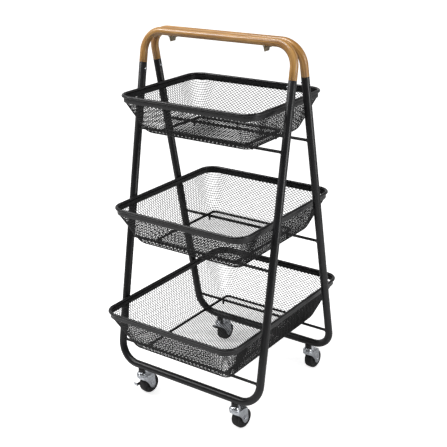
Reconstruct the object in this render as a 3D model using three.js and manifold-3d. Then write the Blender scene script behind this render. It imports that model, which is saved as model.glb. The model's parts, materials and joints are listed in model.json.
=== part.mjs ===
// Rolling pantry cart: two leaning loops of round steel tube, joined side by side at the top,
// carry three lift-off mesh baskets that grow in depth towards the floor, on four swivel casters.
// Millimetres. +X runs along the handle, -Y is the front, +Z is up. The floor is z = 0, and the
// origin is on the floor in the middle of the cart.

import * as THREE from 'three';
import { mergeVertices } from 'three/addons/utils/BufferGeometryUtils.js';
import Module from 'manifold-3d';

// Clearance left between pieces that touch.
const gap = 0.3;

// Flats round the tubes, round small turned parts and pins, and steps round each bend.
const tubeSides = 12;
const smallSides = 8;
const wireSides = 6;
const turnedSides = 14;
const tubeBendSteps = 5;
const rimBendSteps = 4;
const wireBendSteps = 3;

// Frame tube and the two loops.
const tubeRadius = 9.5;
const tubeBoreRadius = 8.2;
const legHalfSpacing = 208.3;
const footY = 169.2;
const topY = 11.3;
const bottomBarZ = 84;
const topBarZ = 894;
const bottomBendRadius = 51.5;
const topBendRadius = 50;
const handleDrop = 75;
const lean = Math.atan2(footY - topY, topBarZ - bottomBarZ);
const loopLength = Math.hypot(footY - topY, topBarZ - bottomBarZ);
const legTop = loopLength - handleDrop / Math.cos(lean);

// Spigots on the handle tube, and the screws that hold them in the legs.
const spigotRadius = 7.7;
const spigotBoreRadius = 6.4;
const spigotLength = 38;
const spigotLap = 10;
const handleBoreRadius = 7.2;
const legScrewDrop = 15;
const screwShankRadius = 1.7;
const screwHoleRadius = 2.1;
const screwHeadRadius = 3.4;
const screwHeadHeight = 2.2;
const screwLength = 9;

// Saddle clips that tie the two top bars together.
const clipX = 131;
const clipWidth = 12;
const clipReach = 3.8;
const clipThickness = 1.8;
const clipHoleRadius = 2.4;
const clipWebDrop = 10;
const clipWebTopHalf = 13;
const clipWebBottomHalf = 9;

// Crossbars and baskets, top to bottom.
const crossbarRadius = 3.5;
const beadRadius = 3.6;
const beadShift = 1;
const bandHeight = 14.4;
const bandThickness = 1.6;
const rimHalfWidth = 190.5;
const rimCornerRadius = 33.4;
const meshThickness = 2;
const meshLap = 6;
const sideSlope = 0.44;
const frontSlope = 0.525;
const floorBlend = 15;
const cornerTighten = 0.35;
const baseWireRadius = 3.1;
const baseHalfWidth = 118;
const baseCornerRadius = 8;
const hookRadius = 2.8;
const hookReach = 8.5;
const baskets = [
  { level: 'top', crossbarZ: 666, rimZ: 763.7, rimHalfDepth: 153, baseHalfDepth: 72 },
  { level: 'middle', crossbarZ: 402, rimZ: 503.7, rimHalfDepth: 199.5, baseHalfDepth: 121.4 },
  { level: 'bottom', crossbarZ: 137.5, rimZ: 253.2, rimHalfDepth: 247.3, baseHalfDepth: 171.8 },
];

// Casters: the wheel trails behind the stem.
const casterX = 143;
const wheelRadius = 25;
const wheelTrail = 21.5;
const wheelHalfWidth = 11;
const axleRadius = 3;
const stemRadius = 4;
const stemHoleRadius = 4.4;
const stemTop = 88;
const collarBottom = 66.3;
const collarRadius = 8.5;
const raceBottom = 57;
const raceRadius = 14;
const forkPlateBottom = 52;
const forkPlateTop = 54;
const cheekInside = 12.3;
const cheekThickness = 1.8;
const leverThickness = 1.8;
const leverReach = 28;
const casters = [
  { place: 'front_left', x: -1, y: -1, heading: -8, leverAngle: -4 },
  { place: 'front_right', x: 1, y: -1, heading: -8, leverAngle: null },
  { place: 'rear_left', x: -1, y: 1, heading: -4, leverAngle: 30 },
  { place: 'rear_right', x: 1, y: 1, heading: -4, leverAngle: null },
];

const blackSteel = { color: 0x242427, roughness: 0.45, metalness: 0.3 };
const woodGrain = { color: 0xb98a58, roughness: 0.5, metalness: 0.0 };
const zinc = { color: 0xc9ccd0, roughness: 0.28, metalness: 1.0 };
const dullBrass = { color: 0x9a8a72, roughness: 0.4, metalness: 0.9 };
const blackPlastic = { color: 0x19191b, roughness: 0.55, metalness: 0.0 };
const blackRubber = { color: 0x141416, roughness: 0.7, metalness: 0.0 };

const wasm = await Module();
wasm.setup();

// Turns a closed geometry into a solid that can be joined and cut.
function toSolid(geometry) {
  const plain = geometry.clone();
  plain.deleteAttribute('normal');
  plain.deleteAttribute('uv');
  const merged = mergeVertices(plain, 1e-3);
  const mesh = new wasm.Mesh({
    numProp: 3,
    vertProperties: new Float32Array(merged.attributes.position.array),
    triVerts: new Uint32Array(merged.index.array),
  });
  return new wasm.Manifold(mesh);
}

function toGeometry(solid) {
  const mesh = solid.getMesh();
  const geometry = new THREE.BufferGeometry();
  geometry.setAttribute('position', new THREE.BufferAttribute(mesh.vertProperties, 3));
  geometry.setIndex(new THREE.BufferAttribute(mesh.triVerts, 1));
  return geometry;
}

function join(first, ...others) {
  return toGeometry(others.reduce((solid, other) => solid.add(toSolid(other)), toSolid(first)));
}

function cut(body, ...cutters) {
  return toGeometry(cutters.reduce((solid, cutter) => solid.subtract(toSolid(cutter)), toSolid(body)));
}

function piece(name, geometry, finish) {
  const mesh = new THREE.Mesh(geometry, new THREE.MeshStandardMaterial(finish));
  mesh.name = name;
  return mesh;
}

// A path of straight runs and round bends in one plane. It has a station at both ends of each
// run and a few around each bend, so long straight runs take no extra steps.
class BentPath extends THREE.Curve {
  constructor(corners, bendRadius, planeNormal, closed, bendSteps) {
    super();
    this.planeNormal = planeNormal;
    this.stations = [];
    const count = corners.length;
    const firstBend = closed ? 0 : 1;
    const lastBend = closed ? count - 1 : count - 2;
    if (!closed) {
      this.addStation(corners[0], direction(corners[0], corners[1]));
    }
    for (let i = firstBend; i <= lastBend; i += 1) {
      const arriving = direction(corners[(i + count - 1) % count], corners[i]);
      const leaving = direction(corners[i], corners[(i + 1) % count]);
      this.addBend(corners[i], arriving, leaving, bendRadius, bendSteps);
    }
    if (closed) {
      this.stations.push(this.stations[0]);
    } else {
      this.addStation(corners[count - 1], direction(corners[count - 2], corners[count - 1]));
    }
  }

  addStation(point, tangent) {
    this.stations.push({ point: point.clone(), tangent: tangent.clone() });
  }

  addBend(corner, arriving, leaving, radius, steps) {
    const turn = arriving.angleTo(leaving);
    const start = corner.clone().addScaledVector(arriving, -radius * Math.tan(turn / 2));
    const inward = leaving.clone().addScaledVector(arriving, -leaving.dot(arriving)).normalize();
    const centre = start.clone().addScaledVector(inward, radius);
    for (let step = 0; step <= steps; step += 1) {
      const angle = (turn * step) / steps;
      const point = centre.clone();
      point.addScaledVector(inward, -radius * Math.cos(angle));
      point.addScaledVector(arriving, radius * Math.sin(angle));
      const tangent = arriving.clone().multiplyScalar(Math.cos(angle));
      tangent.addScaledVector(inward, Math.sin(angle));
      this.addStation(point, tangent);
    }
  }

  getPoint(t, target = new THREE.Vector3()) {
    const place = t * (this.stations.length - 1);
    const before = Math.min(Math.floor(place + 1e-9), this.stations.length - 2);
    const from = this.stations[before].point;
    const to = this.stations[before + 1].point;
    return target.lerpVectors(from, to, Math.min(Math.max(place - before, 0), 1));
  }

  getPointAt(u, target) {
    return this.getPoint(u, target);
  }

  computeFrenetFrames() {
    const tangents = this.stations.map((station) => station.tangent.clone());
    const normals = tangents.map((tangent) => this.planeNormal.clone().cross(tangent));
    const binormals = tangents.map(() => this.planeNormal.clone());
    return { tangents, normals, binormals };
  }
}

function direction(from, to) {
  return to.clone().sub(from).normalize();
}

// A section swept along a path. In the section, x points to the left of travel about the plane's
// normal (the inside of a loop run counter-clockwise), and y points along that normal.
function sweep(section, path) {
  const steps = path.stations.length - 1;
  return new THREE.ExtrudeGeometry(section, { steps, extrudePath: path, curveSegments: 5 });
}

// The same round a closed path: the first and last sections meet, so the lids are left out.
function sweepLoop(section, path) {
  const geometry = sweep(section, path);
  const walls = geometry.groups.filter((group) => group.materialIndex === 1);
  const positions = geometry.attributes.position.array;
  const kept = walls.flatMap((wall) => {
    return Array.from(positions.slice(wall.start * 3, (wall.start + wall.count) * 3));
  });
  const ring = new THREE.BufferGeometry();
  ring.setAttribute('position', new THREE.Float32BufferAttribute(kept, 3));
  return mergeVertices(ring, 1e-3);
}

function polygonPoints(radius, sides) {
  const points = [];
  for (let i = 0; i < sides; i += 1) {
    const angle = (2 * Math.PI * i) / sides;
    points.push(new THREE.Vector2(radius * Math.cos(angle), radius * Math.sin(angle)));
  }
  return points;
}

function roundSection(radius, sides, boreRadius = 0) {
  const section = new THREE.Shape(polygonPoints(radius, sides));
  if (boreRadius > 0) {
    section.holes.push(new THREE.Path(polygonPoints(boreRadius, sides).reverse()));
  }
  return section;
}

// A round bar along +Z from one height to another.
function uprightBar(radius, bottom, top, sides) {
  const bar = new THREE.CylinderGeometry(radius, radius, top - bottom, sides);
  bar.rotateX(Math.PI / 2);
  bar.translate(0, 0, (top + bottom) / 2);
  return bar;
}

// A round bar along +X from one place to another.
function crosswiseBar(radius, from, to, sides) {
  const bar = new THREE.CylinderGeometry(radius, radius, to - from, sides);
  bar.rotateZ(Math.PI / 2);
  bar.translate((from + to) / 2, 0, 0);
  return bar;
}

// A solid or ring turned about +Z from [radius, height] points. A ring's outline closes itself.
function turned(outline, segments) {
  const points = outline.map(([radius, height]) => new THREE.Vector2(radius, height));
  if (outline[0][0] > 0) {
    points.push(points[0].clone());
  }
  const geometry = new THREE.LatheGeometry(points, segments);
  geometry.rotateX(Math.PI / 2);
  return geometry;
}

function rectangleCorners(halfX, halfY, z) {
  return [
    new THREE.Vector3(halfX, -halfY, z),
    new THREE.Vector3(halfX, halfY, z),
    new THREE.Vector3(-halfX, halfY, z),
    new THREE.Vector3(-halfX, -halfY, z),
  ];
}

// ---- Frame loops. Each is drawn upright in its own XZ plane, z measured along the leg. ----

const loopNormal = new THREE.Vector3(0, -1, 0);

function lowerFrame() {
  const path = new BentPath([
    new THREE.Vector3(-legHalfSpacing, 0, legTop),
    new THREE.Vector3(-legHalfSpacing, 0, 0),
    new THREE.Vector3(legHalfSpacing, 0, 0),
    new THREE.Vector3(legHalfSpacing, 0, legTop),
  ], bottomBendRadius, loopNormal, false, tubeBendSteps);
  const tube = sweep(roundSection(tubeRadius, tubeSides, tubeBoreRadius), path);
  const holes = [-1, 1].flatMap((side) => {
    const stemHole = uprightBar(stemHoleRadius, -tubeRadius - 3, 0, smallSides);
    stemHole.rotateX(lean);
    stemHole.translate(side * casterX, 0, 0);
    return [stemHole, legScrewHole(side)];
  });
  return cut(tube, ...holes);
}

// A cutter through the inner side of a leg, where its handle screw goes.
function legScrewHole(side) {
  const hole = crosswiseBar(screwHoleRadius, -screwLength, 0, smallSides);
  hole.translate(-2, 0, legTop - legScrewDrop);
  if (side < 0) {
    hole.rotateZ(Math.PI);
  }
  hole.translate(side * legHalfSpacing, 0, 0);
  return hole;
}

function handleTube() {
  const bottom = legTop + gap;
  const path = new BentPath([
    new THREE.Vector3(-legHalfSpacing, 0, bottom),
    new THREE.Vector3(-legHalfSpacing, 0, loopLength),
    new THREE.Vector3(legHalfSpacing, 0, loopLength),
    new THREE.Vector3(legHalfSpacing, 0, bottom),
  ], topBendRadius, loopNormal, false, tubeBendSteps);
  const tube = sweep(roundSection(tubeRadius, tubeSides, handleBoreRadius), path);
  const spigots = [-1, 1].map((side) => {
    const straight = new BentPath([
      new THREE.Vector3(side * legHalfSpacing, 0, bottom - spigotLength),
      new THREE.Vector3(side * legHalfSpacing, 0, bottom + spigotLap),
    ], 0, loopNormal, false, 1);
    return sweep(roundSection(spigotRadius, tubeSides, spigotBoreRadius), straight);
  });
  const clipHoles = [-1, 1].map((side) => {
    const hole = uprightBar(screwHoleRadius, loopLength - tubeRadius - 3, loopLength - 4, smallSides);
    hole.translate(side * clipX, 0, 0);
    return hole;
  });
  const legHoles = [-1, 1].map((side) => legScrewHole(side));
  return cut(join(tube, ...spigots), ...clipHoles, ...legHoles);
}

// A pan-head screw along +X: its head is at the start, and its shank runs to +X.
function panHeadScrew() {
  const outline = [
    [0, -screwHeadHeight],
    [screwHeadRadius * 0.7, -screwHeadHeight],
    [screwHeadRadius, -screwHeadHeight * 0.4],
    [screwHeadRadius, 0],
    [screwShankRadius, 0],
    [screwShankRadius, screwLength],
    [0, screwLength],
  ];
  const screw = turned(outline, smallSides);
  screw.rotateY(Math.PI / 2);
  return screw;
}

function crossbar() {
  const halfLength = legHalfSpacing - tubeRadius - gap;
  return crosswiseBar(crossbarRadius, -halfLength, halfLength, smallSides);
}

// One leaning loop with its handle, crossbars and screws. Lengths up the leg are z over cos(lean).
function leaningLoop(name) {
  const loop = new THREE.Group();
  loop.add(piece(`${name}_lower_frame`, lowerFrame(), blackSteel));
  loop.add(piece(`${name}_handle_tube`, handleTube(), woodGrain));
  for (const basket of baskets) {
    const bar = piece(`${name}_crossbar_${basket.level}`, crossbar(), blackSteel);
    bar.position.z = (basket.crossbarZ - bottomBarZ) / Math.cos(lean);
    loop.add(bar);
  }
  for (const side of [-1, 1]) {
    const hand = (side < 0) === (name === 'front') ? 'left' : 'right';
    const legScrew = piece(`${name}_${hand}_leg_screw`, panHeadScrew(), zinc);
    legScrew.position.set(side * (legHalfSpacing - tubeRadius - gap), 0, legTop - legScrewDrop);
    legScrew.rotation.z = side < 0 ? Math.PI : 0;
    const clipScrew = piece(`${name}_${hand}_clip_screw`, panHeadScrew(), dullBrass);
    clipScrew.position.set(side * clipX, 0, loopLength - tubeRadius - clipThickness - 3 * gap);
    clipScrew.rotation.y = -Math.PI / 2;
    loop.add(legScrew, clipScrew);
  }
  loop.position.set(0, -footY, bottomBarZ);
  loop.rotation.x = -lean;
  return loop;
}

// A point of the front loop's plane, as [y, z] of the cart.
function frontLoopPoint(outOfPlane, alongLeg) {
  return new THREE.Vector2(
    -footY + outOfPlane * Math.cos(lean) + alongLeg * Math.sin(lean),
    bottomBarZ - outOfPlane * Math.sin(lean) + alongLeg * Math.cos(lean),
  );
}

// A shallow V of strip under both top bars, square to the screws that come up through it, with a
// tapered web bent down along its left edge.
function tieClip() {
  const topFace = loopLength - tubeRadius - gap;
  const bottomFace = topFace - clipThickness;
  const middle = (alongLeg) => {
    const outOfPlane = (footY - alongLeg * Math.sin(lean)) / Math.cos(lean);
    return frontLoopPoint(outOfPlane, alongLeg);
  };
  const mirrored = (point) => new THREE.Vector2(-point.x, point.y);
  const outerTop = frontLoopPoint(-clipReach, topFace);
  const outerBottom = frontLoopPoint(-clipReach, bottomFace);
  const outline = new THREE.Shape([
    outerTop, outerBottom, middle(bottomFace), mirrored(outerBottom), mirrored(outerTop), middle(topFace),
  ]);
  const strip = new THREE.ExtrudeGeometry(outline, { depth: clipWidth, bevelEnabled: false });
  strip.rotateX(Math.PI / 2);
  strip.rotateZ(Math.PI / 2);
  strip.translate(-clipWidth / 2, 0, 0);
  const inside = middle((topFace + bottomFace) / 2);
  const webRise = clipWebTopHalf * Math.tan(lean);
  const web = plateAlongX(new THREE.Shape([
    new THREE.Vector2(0, inside.y),
    new THREE.Vector2(-clipWebTopHalf, inside.y + webRise),
    new THREE.Vector2(-clipWebBottomHalf, inside.y - clipWebDrop),
    new THREE.Vector2(clipWebBottomHalf, inside.y - clipWebDrop),
    new THREE.Vector2(clipWebTopHalf, inside.y + webRise),
  ]), -clipWidth / 2, -clipWidth / 2 + clipThickness, 1);
  const holes = [-1, 1].map((side) => {
    const hole = uprightBar(clipHoleRadius, -6, 6, smallSides);
    hole.rotateX(side * lean);
    const centre = frontLoopPoint(0, (topFace + bottomFace) / 2);
    hole.translate(0, side * centre.x * -1, centre.y);
    return hole;
  });
  return cut(join(strip, web), ...holes);
}

// ---- Baskets. ----

// How far the bead's outermost line is from the band's outer face.
const bandFace = beadRadius + beadShift;

// Rolled bead that overhangs a flat band, swept round the rim. Section x points inwards.
function basketRim(basket) {
  const section = new THREE.Shape();
  const outerAngle = -Math.acos(beadShift / beadRadius) + 2 * Math.PI;
  const innerAngle = -Math.acos((bandThickness + beadShift) / beadRadius);
  section.moveTo(0, -bandHeight);
  section.absarc(-beadShift, 0, beadRadius, outerAngle, innerAngle, true);
  section.lineTo(bandThickness, -bandHeight);
  section.closePath();
  const corners = rectangleCorners(rimHalfWidth - bandFace, basket.rimHalfDepth - bandFace, basket.rimZ);
  const path = new BentPath(corners, rimCornerRadius, new THREE.Vector3(0, 0, 1), true, rimBendSteps);
  return sweepLoop(section, path);
}

// Underside of the tray's floor, which rests on the crossbars.
function floorZ(basket) {
  return basket.crossbarZ + crossbarRadius + gap;
}

function baseWireZ(basket) {
  return floorZ(basket) + meshThickness + gap + baseWireRadius;
}

// The middles of the four pins that go down from the wire through the floor.
function pinPlaces(basket) {
  const pinY = crossbarY(basket) - crossbarRadius - hookRadius - 2 * gap;
  return [[-1, -1], [1, -1], [1, 1], [-1, 1]].map(([x, y]) => [x * baseHalfWidth, y * pinY]);
}

// One side of the tray's profile, from the band down the wall and round onto the floor, as
// [inset from the band, height] points.
function trayProfile(basket, slope, extraInset, extraHeight) {
  const bandBottom = basket.rimZ - bandHeight;
  const floor = floorZ(basket) + extraHeight;
  const cornerInset = slope * (bandBottom - floor);
  const wallEnd = new THREE.Vector2(cornerInset - floorBlend * slope, floor + floorBlend);
  const floorStart = new THREE.Vector2(cornerInset + floorBlend, floor);
  const bend = new THREE.QuadraticBezierCurve(wallEnd, new THREE.Vector2(cornerInset, floor), floorStart);
  const points = [
    new THREE.Vector2(0, bandBottom + meshLap),
    new THREE.Vector2(0, bandBottom),
    ...bend.getPoints(3),
  ];
  return points.map((point) => new THREE.Vector2(point.x + extraInset, point.y));
}

// The mesh tray as a thin shell: rings down the outside, a closed floor, and rings up the inside.
function meshTray(basket) {
  const rings = [];
  const clear = bandFace + bandThickness + gap;
  const addRings = (extraInset, extraHeight, reversed) => {
    const sides = trayProfile(basket, sideSlope, extraInset, extraHeight);
    const ends = trayProfile(basket, frontSlope, extraInset, extraHeight);
    const stack = sides.map((point, i) => {
      const halfX = rimHalfWidth - clear - point.x;
      const halfY = basket.rimHalfDepth - clear - ends[i].x;
      const radius = rimCornerRadius - bandThickness - gap - point.x * cornerTighten;
      return roundedRing(halfX, halfY, radius, point.y);
    });
    rings.push(...(reversed ? stack.reverse() : stack));
  };
  addRings(0, 0, false);
  addRings(meshThickness, meshThickness, true);
  const shell = ringStack(rings, trayProfile(basket, sideSlope, 0, 0).length);
  const holes = pinPlaces(basket).map(([x, y]) => {
    const hole = uprightBar(hookRadius + gap, floorZ(basket) - 1, floorZ(basket) + meshThickness + 1, wireSides);
    hole.translate(x, y, 0);
    return hole;
  });
  return cut(shell, ...holes);
}

function roundedRing(halfX, halfY, radius, z) {
  const path = new BentPath(rectangleCorners(halfX, halfY, z), radius, new THREE.Vector3(0, 0, 1), true, rimBendSteps);
  return path.stations.slice(0, -1).map((station) => station.point);
}

// Closed surface through a stack of rings. The floor is a fan in the last outside ring and in the
// first inside ring, and the last ring joins the first one round the top edge.
function ringStack(rings, outsideCount) {
  const perRing = rings[0].length;
  const positions = rings.flat().flatMap((point) => [point.x, point.y, point.z]);
  const faces = [];
  const quad = (a, b, c, d) => faces.push(a, b, c, a, c, d);
  const strip = (lower, upper) => {
    for (let i = 0; i < perRing; i += 1) {
      const next = (i + 1) % perRing;
      quad(lower * perRing + i, lower * perRing + next, upper * perRing + next, upper * perRing + i);
    }
  };
  for (let ring = 0; ring < rings.length; ring += 1) {
    if (ring !== outsideCount - 1) {
      strip((ring + 1) % rings.length, ring);
    }
  }
  const fan = (ring, facingUp) => {
    const centre = positions.length / 3;
    positions.push(0, 0, rings[ring][0].z);
    for (let i = 0; i < perRing; i += 1) {
      const a = ring * perRing + i;
      const b = ring * perRing + ((i + 1) % perRing);
      faces.push(...(facingUp ? [a, b, centre] : [b, a, centre]));
    }
  };
  fan(outsideCount - 1, false);
  fan(outsideCount, true);
  const geometry = new THREE.BufferGeometry();
  geometry.setAttribute('position', new THREE.Float32BufferAttribute(positions, 3));
  geometry.setIndex(faces);
  return geometry;
}

function crossbarY(basket) {
  return footY - (basket.crossbarZ - bottomBarZ) * Math.tan(lean);
}

// Wire rectangle on the tray's floor, with four pins that go through it and drop behind the crossbars.
function baseWire(basket) {
  const corners = rectangleCorners(baseHalfWidth, basket.baseHalfDepth, baseWireZ(basket));
  const path = new BentPath(corners, baseCornerRadius, new THREE.Vector3(0, 0, 1), true, wireBendSteps);
  const ring = sweepLoop(roundSection(baseWireRadius, wireSides), path);
  const pins = pinPlaces(basket).map(([x, y]) => {
    const pin = uprightBar(hookRadius, basket.crossbarZ - hookReach, baseWireZ(basket), wireSides);
    pin.translate(x, y, 0);
    return pin;
  });
  return join(ring, ...pins);
}

function liftOffBasket(basket) {
  const group = new THREE.Group();
  group.add(piece(`${basket.level}_basket_rim`, basketRim(basket), blackSteel));
  group.add(piece(`${basket.level}_basket_mesh`, meshTray(basket), blackSteel));
  group.add(piece(`${basket.level}_basket_base_wire`, baseWire(basket), blackSteel));
  return group;
}

// ---- Casters. Each is drawn with its stem on the Z axis and its wheel behind, towards +Y. ----

function casterStem() {
  return turned([
    [0, forkPlateBottom - 2.7],
    [6, forkPlateBottom - 2.7],
    [6, forkPlateBottom - gap],
    [stemRadius, forkPlateBottom - gap],
    [stemRadius, stemTop],
    [0, stemTop],
  ], smallSides);
}

// The collar's top is hollowed to sit against the round tube above it.
function stemCollar() {
  const collar = turned([
    [stemHoleRadius, collarBottom],
    [collarRadius - 1, collarBottom],
    [collarRadius, collarBottom + 2],
    [collarRadius, bottomBarZ - tubeRadius + 2.5],
    [stemHoleRadius, bottomBarZ - tubeRadius + 2.5],
  ], turnedSides);
  const tube = crosswiseBar(tubeRadius + 2 * gap, -20, 20, 2 * smallSides);
  tube.translate(0, 0, bottomBarZ);
  return cut(collar, tube);
}

function ballRace() {
  return turned([
    [stemHoleRadius, raceBottom],
    [raceRadius, raceBottom],
    [raceRadius, raceBottom + 3],
    [raceRadius - 2.5, raceBottom + 6],
    [stemRadius + 4, collarBottom - gap],
    [stemHoleRadius, collarBottom - gap],
  ], turnedSides);
}

// Side cheek outline in [back, up] from the stem's foot on the floor.
function cheekOutline() {
  const shape = new THREE.Shape();
  shape.moveTo(-12, forkPlateTop);
  shape.lineTo(-12.5, 50);
  shape.quadraticCurveTo(4, 42, 12, 27);
  shape.quadraticCurveTo(14.5, 15.5, 22, 14.5);
  shape.quadraticCurveTo(31, 15, 32, 25);
  shape.lineTo(29.5, forkPlateTop);
  shape.closePath();
  return shape;
}

function plateAlongX(shape, from, to, curveSegments) {
  const plate = new THREE.ExtrudeGeometry(shape, { depth: to - from, bevelEnabled: false, curveSegments });
  plate.rotateX(Math.PI / 2);
  plate.rotateZ(Math.PI / 2);
  plate.translate(from, 0, 0);
  return plate;
}

function fork() {
  const cheekOutside = cheekInside + cheekThickness;
  const rightCheek = plateAlongX(cheekOutline(), cheekInside, cheekOutside, 4);
  const leftCheek = plateAlongX(cheekOutline(), -cheekOutside, -cheekInside, 4);
  const top = new THREE.BoxGeometry(2 * cheekInside + 1, 41.5, forkPlateTop - forkPlateBottom);
  top.translate(0, -12 + 41.5 / 2, (forkPlateTop + forkPlateBottom) / 2);
  const raceSeat = uprightBar(raceRadius - 1, forkPlateTop - 1, raceBottom - gap, turnedSides);
  const body = join(top, rightCheek, leftCheek, raceSeat);
  const stemHole = uprightBar(stemHoleRadius, forkPlateBottom - 2, raceBottom + 2, smallSides);
  const axleHole = crosswiseBar(axleRadius + gap, -cheekOutside - 1, cheekOutside + 1, smallSides);
  axleHole.translate(0, wheelTrail, wheelRadius);
  return cut(body, stemHole, axleHole);
}

// Riveted axle. Its left head stands further out where it also holds a brake lever.
function axle(holdsLever) {
  const rightFace = cheekInside + cheekThickness + gap;
  const leftFace = rightFace + (holdsLever ? leverThickness + gap : 0);
  const headRadius = axleRadius + 2;
  const headHeight = 1.6;
  const bar = turned([
    [0, -leftFace - headHeight],
    [headRadius, -leftFace - headHeight],
    [headRadius, -leftFace],
    [axleRadius, -leftFace],
    [axleRadius, rightFace],
    [headRadius, rightFace],
    [headRadius, rightFace + headHeight],
    [0, rightFace + headHeight],
  ], smallSides);
  bar.rotateY(Math.PI / 2);
  return bar;
}

// The wheel's outline has 24 flats, and the wheel stands on one of them.
const wheelFlats = 24;

function standOnFlat(geometry) {
  geometry.rotateY(Math.PI / 2);
  geometry.rotateX(Math.PI / wheelFlats);
  return geometry;
}

function wheelTyre() {
  const outer = wheelRadius / Math.cos(Math.PI / wheelFlats);
  return standOnFlat(turned([
    [16.3, -9.5],
    [22, -wheelHalfWidth],
    [outer, -wheelHalfWidth + 3],
    [outer, wheelHalfWidth - 3],
    [22, wheelHalfWidth],
    [16.3, 9.5],
  ], wheelFlats));
}

function wheelHub() {
  return standOnFlat(turned([
    [axleRadius + gap, -wheelHalfWidth - 0.8],
    [7, -wheelHalfWidth - 0.8],
    [15.8, -8.5],
    [15.8, 8.5],
    [7, wheelHalfWidth + 0.8],
    [axleRadius + gap, wheelHalfWidth + 0.8],
  ], turnedSides));
}

// Stamped side lever that hooks over the axle, with a toe tab bent out at its tip.
function brakeLever(angle) {
  const shape = new THREE.Shape();
  shape.absarc(0, 0, 6.5, -Math.PI / 2, Math.PI / 2, false);
  shape.lineTo(-leverReach, 4);
  shape.lineTo(-leverReach, -3);
  shape.closePath();
  const inside = cheekInside + cheekThickness + gap;
  const arm = plateAlongX(shape, -inside - leverThickness, -inside, 5);
  const tab = new THREE.BoxGeometry(11, leverThickness, 7);
  tab.translate(-inside - leverThickness - 4.5, -leverReach + leverThickness / 2, 0.5);
  const axleHole = crosswiseBar(axleRadius + gap, -inside - leverThickness - 1, -inside + 1, smallSides);
  const lever = cut(join(arm, tab), axleHole);
  lever.rotateX(-THREE.MathUtils.degToRad(angle));
  return lever;
}

function swivelCaster(caster) {
  const group = new THREE.Group();
  group.add(piece(`${caster.place}_caster_collar`, stemCollar(), blackPlastic));
  group.add(piece(`${caster.place}_caster_stem`, casterStem(), zinc));
  group.add(piece(`${caster.place}_caster_ball_race`, ballRace(), zinc));
  group.position.set(caster.x * casterX, caster.y * footY, 0);
  const swivel = new THREE.Group();
  swivel.rotation.z = THREE.MathUtils.degToRad(caster.heading);
  swivel.add(piece(`${caster.place}_caster_fork`, fork(), zinc));
  const wheel = new THREE.Group();
  wheel.position.set(0, wheelTrail, wheelRadius);
  wheel.add(piece(`${caster.place}_caster_axle`, axle(caster.leverAngle !== null), zinc));
  wheel.add(piece(`${caster.place}_wheel_hub`, wheelHub(), blackPlastic));
  wheel.add(piece(`${caster.place}_wheel_tyre`, wheelTyre(), blackRubber));
  if (caster.leverAngle !== null) {
    wheel.add(piece(`${caster.place}_brake_lever`, brakeLever(caster.leverAngle), zinc));
  }
  swivel.add(wheel);
  group.add(swivel);
  return group;
}

// ---- The whole cart. ----

const cart = new THREE.Group();
cart.add(leaningLoop('front'));

const rearLoop = new THREE.Group();
rearLoop.rotation.z = Math.PI;
rearLoop.add(leaningLoop('rear'));
cart.add(rearLoop);

for (const side of [-1, 1]) {
  const clip = piece(side < 0 ? 'left_handle_clip' : 'right_handle_clip', tieClip(), dullBrass);
  clip.position.x = side * clipX;
  cart.add(clip);
}
for (const basket of baskets) {
  cart.add(liftOffBasket(basket));
}
for (const caster of casters) {
  cart.add(swivelCaster(caster));
}

export default cart;
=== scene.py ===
# %% [markdown]
# # A rolling pantry cart
# Two leaning loops of powder-coated steel tube, a handle with a bamboo-look grip, three lift-off
# baskets of expanded steel mesh and four small zinc-plated casters. The imported CAD model is the
# frame that everything here is built around, so it is loaded first.

import json
import math

import bpy
import numpy as np
from mathutils import Matrix, Vector


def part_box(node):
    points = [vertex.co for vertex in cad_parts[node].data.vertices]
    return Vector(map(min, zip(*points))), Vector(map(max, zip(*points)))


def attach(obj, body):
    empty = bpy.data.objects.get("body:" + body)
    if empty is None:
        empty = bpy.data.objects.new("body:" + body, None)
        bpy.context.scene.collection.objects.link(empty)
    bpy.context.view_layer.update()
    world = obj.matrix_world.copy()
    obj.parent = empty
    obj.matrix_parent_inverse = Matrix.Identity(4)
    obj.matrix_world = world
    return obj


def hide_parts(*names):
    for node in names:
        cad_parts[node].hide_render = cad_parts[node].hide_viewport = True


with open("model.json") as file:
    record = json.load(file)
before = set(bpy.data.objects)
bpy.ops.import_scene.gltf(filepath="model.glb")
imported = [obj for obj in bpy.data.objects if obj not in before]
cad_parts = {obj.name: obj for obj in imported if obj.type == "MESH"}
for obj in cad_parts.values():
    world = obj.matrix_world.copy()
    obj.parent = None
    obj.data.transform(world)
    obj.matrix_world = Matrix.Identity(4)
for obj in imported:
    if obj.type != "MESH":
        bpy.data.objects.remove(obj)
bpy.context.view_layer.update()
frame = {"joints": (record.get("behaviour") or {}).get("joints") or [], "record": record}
scene = bpy.context.scene
MM = 0.001

# %% [markdown]
# ## Camera
# The cart is seen from its front right, a little above the handle's mid height, with a lens long
# enough to keep the legs nearly parallel. A camera looks down its own -Z, so it is tipped up from
# the floor by 90 degrees less the downward pitch, then turned about Z. The last small turn is roll.

# %% Camera
CAMERA_PLACE = Vector((1.2098, -1.6679, 1.2372))
CAMERA_YAW = 0.628
CAMERA_PITCH = 0.369
CAMERA_ROLL = -0.022
camera_data = bpy.data.cameras.new("camera")
camera_data.lens = 73.2
camera_data.sensor_width = 36.0
camera = bpy.data.objects.new("camera", camera_data)
turn = Matrix.Rotation(CAMERA_YAW, 4, "Z") @ Matrix.Rotation(math.pi / 2 - CAMERA_PITCH, 4, "X")
camera.matrix_world = Matrix.Translation(CAMERA_PLACE) @ turn @ Matrix.Rotation(CAMERA_ROLL, 4, "Z")
scene.collection.objects.link(camera)
scene.camera = camera
print("camera at", tuple(round(v, 2) for v in CAMERA_PLACE))

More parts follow.
